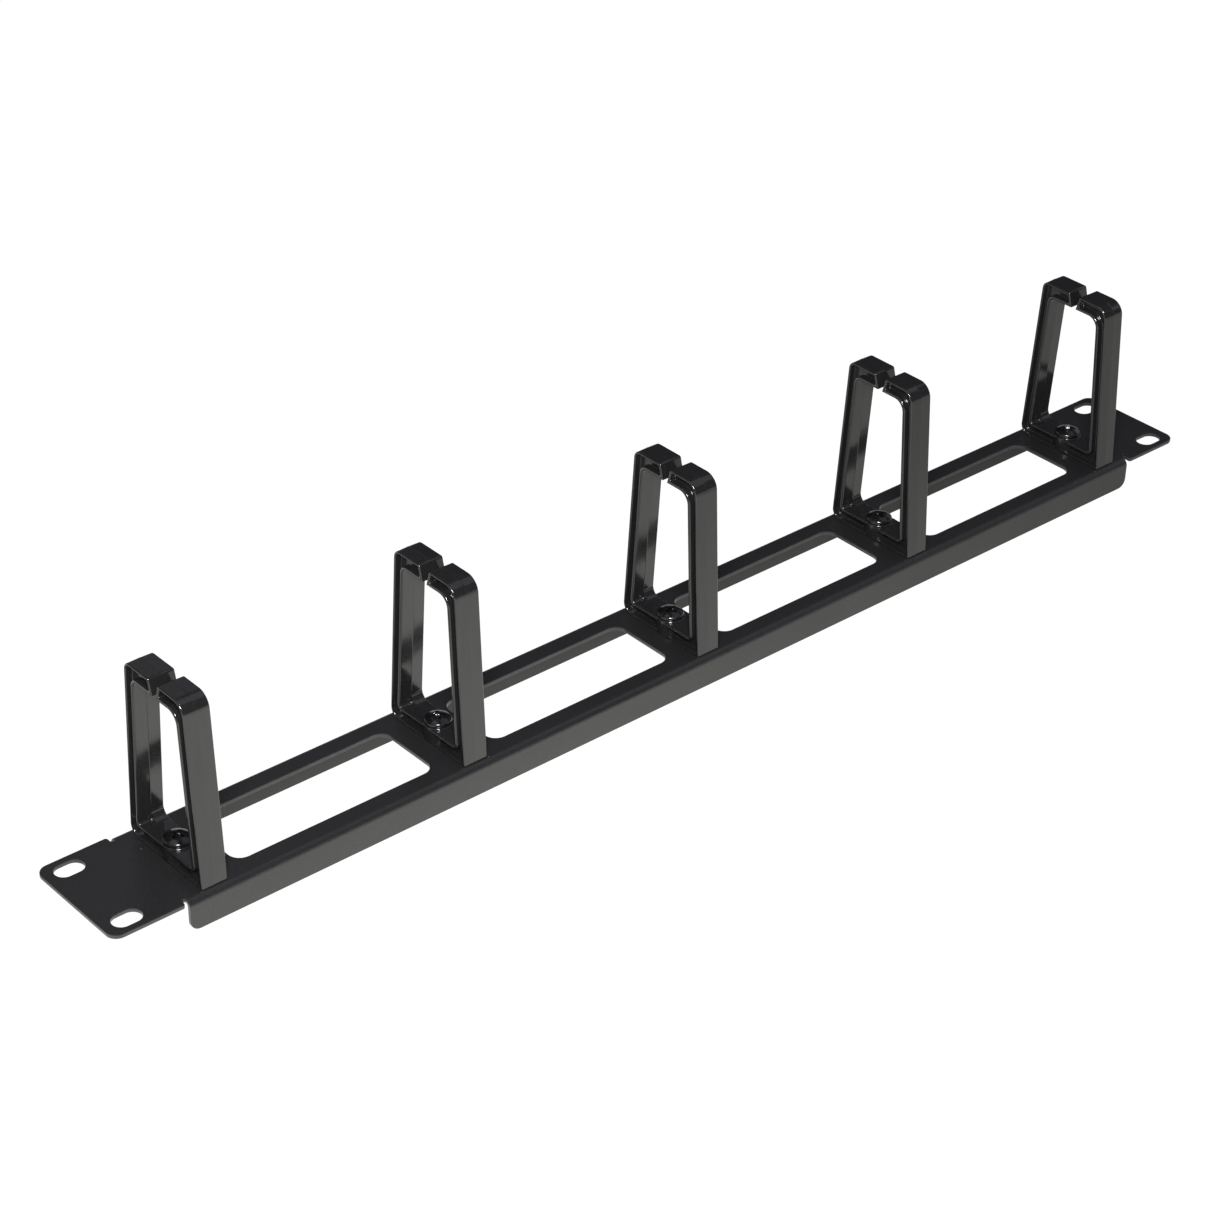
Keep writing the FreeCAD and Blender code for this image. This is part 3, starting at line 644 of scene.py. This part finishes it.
def ringMesh(form):
    # One whole moulding about its own middle: two mirrored halves, the screw boss joined, the bore
    # cut. The far half stands towards +X.
    low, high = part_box("ring_1")
    tall, span = high.z - low.z, high.y - low.y
    points, faces, wear = halfRing(form, tall, span, True)
    nearPoints, nearFaces, _ = halfRing(form, tall, span, False)
    count, row = len(points), 12 * (form["cornerSteps"] + 3)
    seam = gridFaces(2, row)                         # joins the halves where their feet differ
    seam[:, 2:] += count - row
    faces = faces + [part[:, ::-1] + count for part in nearFaces] + [seam[:, ::-1]]
    points = np.concatenate([points, nearPoints * (-1, 1, 1)])
    mesh = wrapMesh("ringBody", points, faces, np.tile(wear, 2), dissolve=False)
    body = addObject("ringBody", mesh)
    r, soft = form["bossRadius"], form["bossEdge"]
    top, foot = form["baseBar"] + form["bossRise"], 0.02 * mm     # it starts inside the base bar
    quarter = np.radians(np.linspace(0, 90, 5))
    rounding = [(r - soft + soft * math.sin(a), top - soft + soft * math.cos(a)) for a in quarter]
    boss = turnedSolid("bossTool", [(0, top)] + rounding + [(r, foot), (0, foot)])
    hole, above, below = form["bore"], 9 * mm, -2 * mm   # the cutter stands out at both ends
    bore = turnedSolid("boreTool", [(0, above), (hole, above), (hole, below), (0, below)])
    for tool, kind in ((boss, "UNION"), (bore, "DIFFERENCE")):
        cut = body.modifiers.new(kind, "BOOLEAN")
        cut.operation, cut.object, cut.solver = kind, tool, "EXACT"
    view = bpy.context.evaluated_depsgraph_get()
    whole = bpy.data.meshes.new_from_object(body.evaluated_get(view))
    for tool in (body, boss, bore):
        bpy.data.objects.remove(tool)
    return whole


def buildRings(form):
    # Copies of one moulding, each moved to its own place.
    whole = ringMesh(form)
    place = np.zeros(len(whole.vertices) * 3, np.float32)
    whole.vertices.foreach_get("co", place)
    for n in range(1, ringCount + 1):
        low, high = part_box(f"ring_{n}")
        middle = np.array([(low.x + high.x) / 2, (low.y + high.y) / 2, low.z])
        mesh = whole.copy()
        mesh.vertices.foreach_set("co", (place.reshape(-1, 3) + middle).astype(np.float32).ravel())
        mesh.update()
        finishPiece(f"cableRing_{n}", mesh, plastic, f"ring_{n}",
                    creaseX=float(middle[0]))
    print("rings:", len(whole.polygons), "faces each")


buildRings(ringForm)


screwForm = {
    "headRadius": 4.6 * mm,
    "headEdge": 1.3 * mm,         # height of the head's edge
    "headTall": 2.9 * mm,
    "edgeRadius": 0.6 * mm,
    "edgeShare": 0.85,            # of that radius, where the dome turns into the edge
    "underRadius": 0.25 * mm,     # rounding under the head's edge
    "underEase": 0.08 * mm,
    "recessReach": 2.6 * mm,
    "recessHalf": 0.75 * mm,
    "recessDepth": 2.0 * mm,
    "recessLip": (1.04, 0.02 * mm),          # its width as a share of the reach, and its drop
    # From the middle out: share of the reach, share of the depth.
    "recessWall": ((0.3, 0.93), (0.55, 0.8), (0.74, 0.62), (0.8, 0.52), (0.92, 0.12), (0.96, 0.03)),
    "neckFillet": 0.3 * mm,
    "radius": 2.5 * mm,
    "threadStart": 1.2 * mm,      # under the head
    "threadFade": 1.0 * mm,
    "threadDepth": 0.32 * mm,
    "threadFlank": (2.4, 0.1),    # steepness of the ridge, and what its root cuts off
    "pitch": 0.8 * mm,
    "pitchSteps": 8,              # rows in one pitch
    "point": 0.6 * mm,
    "turns": (24, 61, 8, 75, 40),  # degrees, one for each screw
    "sharpAngle": 32,
}
nutForm = {
    "flats": 8.0 * mm,
    "thick": 4.0 * mm,
    "bore": 2.55 * mm,
    "mouth": 2.95 * mm,
    "mouthDepth": 0.4 * mm,
    "mouthEase": (0.08 * mm, 0.03 * mm),     # out and down
    "seatInset": 0.1 * mm,        # the cone starts this far inside the flats
    "softCorner": 4.56 * mm,
    "coneAngle": 30,              # degrees, from the face down to the corners
    "cornerDrop": 0.12 * mm,
    "threadDepth": 0.25 * mm,
    "threadStep": 0.1 * mm,       # between rows of the bore
    "pitch": 0.8 * mm,
}
washerForm = {
    "radius": 5.0 * mm,
    "bore": 2.75 * mm,
    "thick": 1.0 * mm,
    "softEdge": 0.12 * mm,
    "softSteps": 3,
}


def crossReach(turn, form):
    # Distance from the middle to the edge of the cross: across a wing's end, or along its side.
    a = np.abs((turn + math.pi / 4) % (math.pi / 2) - math.pi / 4)
    side = form["recessHalf"] / np.maximum(np.sin(a), 1e-6)
    return np.minimum(form["recessReach"] / np.cos(a), side)


def screwGrid(form, tip):
    # Rows from the middle of the recess, over its walls and the dome, round the head's edge, under
    # it, down the helical thread and to the point; a column is a turn about the axis.
    wing = math.atan2(form["recessHalf"], form["recessReach"])
    quarter = np.concatenate([
        np.linspace(-wing, wing, 7),
        np.linspace(wing, math.pi / 4, 7)[1:],
        np.linspace(math.pi / 4, math.pi / 2 - wing, 7)[1:-1],
    ])
    turn = np.concatenate([quarter + k * math.pi / 2 for k in range(4)])
    head, edge, rise = form["headRadius"], form["headEdge"], form["headTall"] - form["headEdge"]
    ball = (head ** 2 + rise ** 2) / (2 * rise)      # radius of the dome
    reach = crossReach(turn, form)
    radii, heights, wear = [], [], []

    def dome(r):
        # Height of the ball's top at a distance from the axis.
        return form["headTall"] - ball + np.sqrt(ball ** 2 - r ** 2)

    def addRow(radius, height, rub=0.0):
        # One value for the whole row, or one for each column.
        radii.append(np.broadcast_to(radius, turn.shape).astype(float))
        heights.append(np.broadcast_to(height, turn.shape).astype(float))
        wear.append(np.full(len(turn), rub))

    depth, (widening, drop) = form["recessDepth"], form["recessLip"]
    addRow(0.0, dome(reach).min() - depth)
    for share, deep in form["recessWall"]:
        addRow(reach * share, dome(reach) - depth * deep)
    addRow(reach, dome(reach) - drop, 1.0)
    lip = reach * widening
    addRow(lip, dome(lip), 0.8)
    blend = head - form["edgeRadius"] * form["edgeShare"]
    for share in np.linspace(0.2, 1, 8):
        r = lip * (1 - share) + blend * share
        addRow(r, dome(r))
    low, under = dome(blend), form["underRadius"]
    for a in np.radians([25, 45, 65, 90]):
        r = blend + (head - blend) * math.sin(a)
        addRow(r, edge - under + (low - edge + under) * math.cos(a), 0.5)
    addRow(head, under)
    addRow(head - form["underEase"], form["underEase"], 0.3)
    addRow(head - under, 0.0)
    addRow(form["radius"] + form["neckFillet"], 0.0)
    addRow(form["radius"], -form["neckFillet"])
    # The thread: a ridge whose height follows the turn, fading in below the neck.
    cone = tip + form["point"]
    z = np.arange(-form["threadStart"], cone, -form["pitch"] / form["pitchSteps"])
    z = np.append(z, cone)
    fade = np.clip((-form["threadStart"] - z) / form["threadFade"], 0, 1)
    fade[-1] = 1
    steep, root = form["threadFlank"]
    for height, grow in zip(z, fade):
        wave = (height / form["pitch"] - turn / (2 * math.pi)) % 1
        ridge = np.clip(np.abs(wave - 0.5) * steep - root, 0, 1)
        addRow(form["radius"] - form["threadDepth"] * grow * (1 - ridge), height)
    for share, height in ((0.5, 0.45 * form["point"]), (1, 0.05 * mm)):
        addRow(form["radius"] - form["point"] * share, tip + height)
    addRow(form["radius"] - form["point"] - 0.1 * mm, tip)
    addRow(0.0, tip)
    return turned(np.array(radii), np.array(heights), turn), np.array(wear)


def nutGrid(form):
    # Rows from the bore's mouth over the face and the cone-cut corners, down the flats and back up
    # the bore; the outline is the lesser of the hexagon and a soft circle at each turn.
    turn = np.linspace(0, 2 * math.pi, meshing["turnSteps"], endpoint=False)
    away = np.abs((turn + math.pi / 6) % (math.pi / 3) - math.pi / 6)
    hexagon = form["flats"] / 2 / np.cos(math.pi / 6 - away)
    outline = np.minimum(hexagon, form["softCorner"])
    half, seat = form["thick"] / 2, form["flats"] / 2 - form["seatInset"]
    fall = math.tan(math.radians(form["coneAngle"]))
    one = np.ones(len(turn))
    mouth, (out, down) = form["mouth"], form["mouthEase"]
    inner = ((form["bore"], half - form["mouthDepth"]), (mouth, half - down), (mouth + out, half),
             (seat - 2 * form["seatInset"], half))
    upper = [(r * one, z * one) for r, z in inner]
    for share in np.linspace(0, 1, 6):
        r = seat * (1 - share) + outline * share
        upper.append((r, half - np.maximum(r - seat, 0) * fall))
    upper.append((outline, half - np.maximum(outline - seat, 0) * fall - form["cornerDrop"]))
    lower = [(r, -z) for r, z in upper[::-1]]
    bore = []
    lowest, step = form["mouthDepth"] - half, form["threadStep"]
    for z in np.arange(lowest + step, -lowest - step / 2, step):
        wave = (z / form["pitch"] - turn / (2 * math.pi)) % 1
        ridge = np.clip(1 - np.abs(wave - 0.5) * 3, 0, 1)
        bore.append((form["bore"] + form["threadDepth"] * ridge, z * one))
    radii, heights = np.stack(upper + lower + bore + upper[:1], 1)
    wear = np.zeros(radii.shape)
    wear[9:13] = 0.6                                 # the corners
    return turned(radii, heights, turn), wear


def washerGrid(form):
    # A small rectangle with soft corners, carried round the axis.
    turn = np.linspace(0, 2 * math.pi, meshing["turnSteps"], endpoint=False)
    middle = ((form["radius"] + form["bore"]) / 2, 0)
    size = (form["radius"] - form["bore"], form["thick"])
    section = thinLoop(roundedBox(middle, size, form["softEdge"], form["softSteps"]))
    section = np.concatenate([section, section[:1]])
    grid = turned(section[:, :1], section[:, 1:], turn)
    return grid, np.zeros(grid.shape[:2])


def placeGrid(name, grid, wear, middle, turnDeg, node):
    # Turns a surface about the Z axis, moves it to its place and makes the piece.
    a = math.radians(turnDeg)
    spin = np.array([[math.cos(a), math.sin(a), 0], [-math.sin(a), math.cos(a), 0], [0, 0, 1]])
    points = grid.reshape(-1, 3) @ spin + np.array(middle)
    mesh = wrapMesh(name, points, [gridFaces(*grid.shape[:2])], wear.reshape(-1))
    finishPiece(name, mesh, steel, node, screwForm["sharpAngle"])


def buildHardware():
    # Every screw hangs from the seat of its head; nuts and washers sit about their middles.
    low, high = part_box("screw_1")
    seat = high.z - screwForm["headTall"]            # underside of the heads
    screw = screwGrid(screwForm, low.z - seat)
    nut, washer = nutGrid(nutForm), washerGrid(washerForm)
    for n in range(1, ringCount + 1):
        for kind, made, turn in (("screw", screw, screwForm["turns"][n - 1]), ("nut", nut, 0),
                                 ("washer", washer, 0)):
            low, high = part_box(f"{kind}_{n}")
            height = seat if kind == "screw" else (low.z + high.z) / 2
            middle = ((low.x + high.x) / 2, (low.y + high.y) / 2, height)
            placeGrid(f"{kind}Piece_{n}", *made, middle, turn, f"{kind}_{n}")
    print("hardware built")


buildHardware()


studio = {
    "eye": (-0.6026, -0.6509, 0.5802),
    "heading": 41.401,            # degrees from +Y towards +X
    "dip": 32.301,                # degrees below level
    "roll": 1.068,                # degrees, right side up
    "lens": 90.3,                 # mm on a 36 mm sensor
    "floorReach": 6.0,            # half the width of both floor sheets
    "paperHeight": -0.0002,
    "paperTone": (1, 1, 1),
    "bounceHeight": -0.0006,
    "bounceTone": (1.0, 1.0, 0.96),
    "bounce": (1.64, 0.72),       # what the floor throws back, left and right
    "bounceSpan": (-0.08, 0.2),   # between these places along X
    "shade": (1.0, 0.35),         # its share in front of the panel and in the shade just behind it
    "shadeSpan": (-0.02, 0.06),   # along Y
    "farShare": 0.65,             # what comes back farther behind
    "farSpan": (0.1, 0.17),
    "room": (0.04, 0.038, 0.047),
}
# Each soft light: where it is, what it points at, its width and height, watts and tint.
lights = {
    "overhead": ((-0.5, 0.0, 1.1), (-0.1, 0, 0), (0.9, 0.9), 2.2, (0.93, 0.90, 1.0)),
    "besideCamera": ((-0.62, -0.66, 0.74), (0, 0, 0.03), (0.34, 0.34), 16, (1, 1, 1)),
    "cameraGlint": ((-0.56, -0.6, 0.86), (0, 0, 0.03), (0.3, 0.3), 42, (1, 1, 1)),
    "rightHigh": ((0.35, -0.15, 0.8), (-0.15, 0, 0), (0.6, 0.6), 0.55, (0.93, 0.92, 1.0)),
    "rightCard": ((0.95, -0.1, 0.35), (0.1, 0, 0.03), (0.8, 0.5), 0.7, (0.95, 0.95, 1.0)),
    "backSoft": ((0.1, 0.78, 0.65), (-0.15, 0, 0), (0.55, 0.6), 0.2, (0.9, 0.86, 1.0)),
}


def addCamera(name, eye, heading, dip, roll, lens):
    # Looks along its heading, dipped below level, then rolled about that line.
    a, e, r = (math.radians(v) for v in (heading, dip, roll))
    ahead = Vector((math.sin(a) * math.cos(e), math.cos(a) * math.cos(e), -math.sin(e)))
    level = ahead.cross(Vector((0, 0, 1))).normalized()
    upright = level.cross(ahead)
    right = level * math.cos(r) + upright * math.sin(r)
    up = right.cross(ahead)
    data = bpy.data.cameras.new(name)
    data.sensor_width = 36
    data.lens = lens
    data.clip_start = 0.01
    data.clip_end = 50
    camera = addObject(name, data)
    camera.matrix_world = Matrix((
        (right.x, up.x, -ahead.x, eye[0]),
        (right.y, up.y, -ahead.y, eye[1]),
        (right.z, up.z, -ahead.z, eye[2]),
        (0, 0, 0, 1)))
    bpy.context.scene.camera = camera


def addLight(name, place, aim, size, power, tint):
    # A soft rectangle that points at its aim and isn't seen itself.
    data = bpy.data.lights.new(name, "AREA")
    data.shape = "RECTANGLE"
    data.size, data.size_y = size
    data.energy = power
    data.color = tint
    lamp = addObject(name, data)
    lamp.visible_camera = False
    lamp.location = place
    lamp.rotation_euler = (Vector(aim) - Vector(place)).to_track_quat("-Z", "Y").to_euler()
    return lamp


def limitCameraLights(fill, glint):
    # The fill leaves no glare on the panel from the other side, and the glint makes nothing but the
    # small bright spots on the rings' rims and the screws.
    fill.visible_glossy = False
    glint.visible_diffuse = False
    sparkling = bpy.data.collections.new("sparkling")
    for piece in bpy.data.objects:
        if piece.name.startswith(("cableRing", "screwPiece")):
            sparkling.objects.link(piece)
    glint.light_linking.receiver_collection = sparkling


def addFloor(name, height, tone):
    # A wide level sheet that glows; hands back its material's parts, to vary the glow.
    mesh = bpy.data.meshes.new(name)
    reach = studio["floorReach"]
    corners = [(x * reach, y * reach, height) for x, y in ((-1, -1), (1, -1), (1, 1), (-1, 1))]
    mesh.from_pydata(corners, [], [(0, 1, 2, 3)])
    sheet = addObject(name, mesh)
    made, nodes, links, shader = newMaterial(name)
    shader.inputs["Base Color"].default_value = (0.05, 0.05, 0.05, 1)
    shader.inputs["Roughness"].default_value = 0.9
    shader.inputs["Specular IOR Level"].default_value = 0.0
    shader.inputs["Emission Color"].default_value = (*tone, 1)
    shader.inputs["Emission Strength"].default_value = 1.0
    mesh.materials.append(made)
    return sheet, nodes, links, shader


def addPaper():
    # What the viewer sees of the floor: plain pale paper, which throws nothing back.
    sheet = addFloor("paleFloor", studio["paperHeight"], studio["paperTone"])[0]
    sheet.visible_diffuse = False
    sheet.visible_glossy = False


def addBounce():
    # What the floor throws back: strength = across(x) * (near(y) + far(y)), each a straight ramp.
    height, tone = studio["bounceHeight"], studio["bounceTone"]
    sheet, nodes, links, shader = addFloor("floorBounce", height, tone)
    place = nodes.new("ShaderNodeSeparateXYZ")
    links.new(nodes.new("ShaderNodeTexCoord").outputs["Object"], place.inputs["Vector"])
    across = addRange(nodes, links, place.outputs["X"], *studio["bounceSpan"], *studio["bounce"])
    near = addRange(nodes, links, place.outputs["Y"], *studio["shadeSpan"], *studio["shade"])
    far = addRange(nodes, links, place.outputs["Y"], *studio["farSpan"], 0, studio["farShare"])
    along = addMath(nodes, links, "ADD", near, far)
    strength = addMath(nodes, links, "MULTIPLY", across, along)
    links.new(strength, shader.inputs["Emission Strength"])
    sheet.visible_camera = False


addCamera("viewer", *(studio[key] for key in ("eye", "heading", "dip", "roll", "lens")))
lamps = {name: addLight(name, *light) for name, light in lights.items()}
limitCameraLights(lamps["besideCamera"], lamps["cameraGlint"])

world = bpy.data.worlds.new("room")
bpy.context.scene.world = world
world.use_nodes = True
room = world.node_tree.nodes["Background"]
room.inputs["Color"].default_value = (*studio["room"], 1)
room.inputs["Strength"].default_value = 1.0
bpy.context.scene.view_settings.view_transform = "Standard"

addPaper()
addBounce()
print("studio ready")
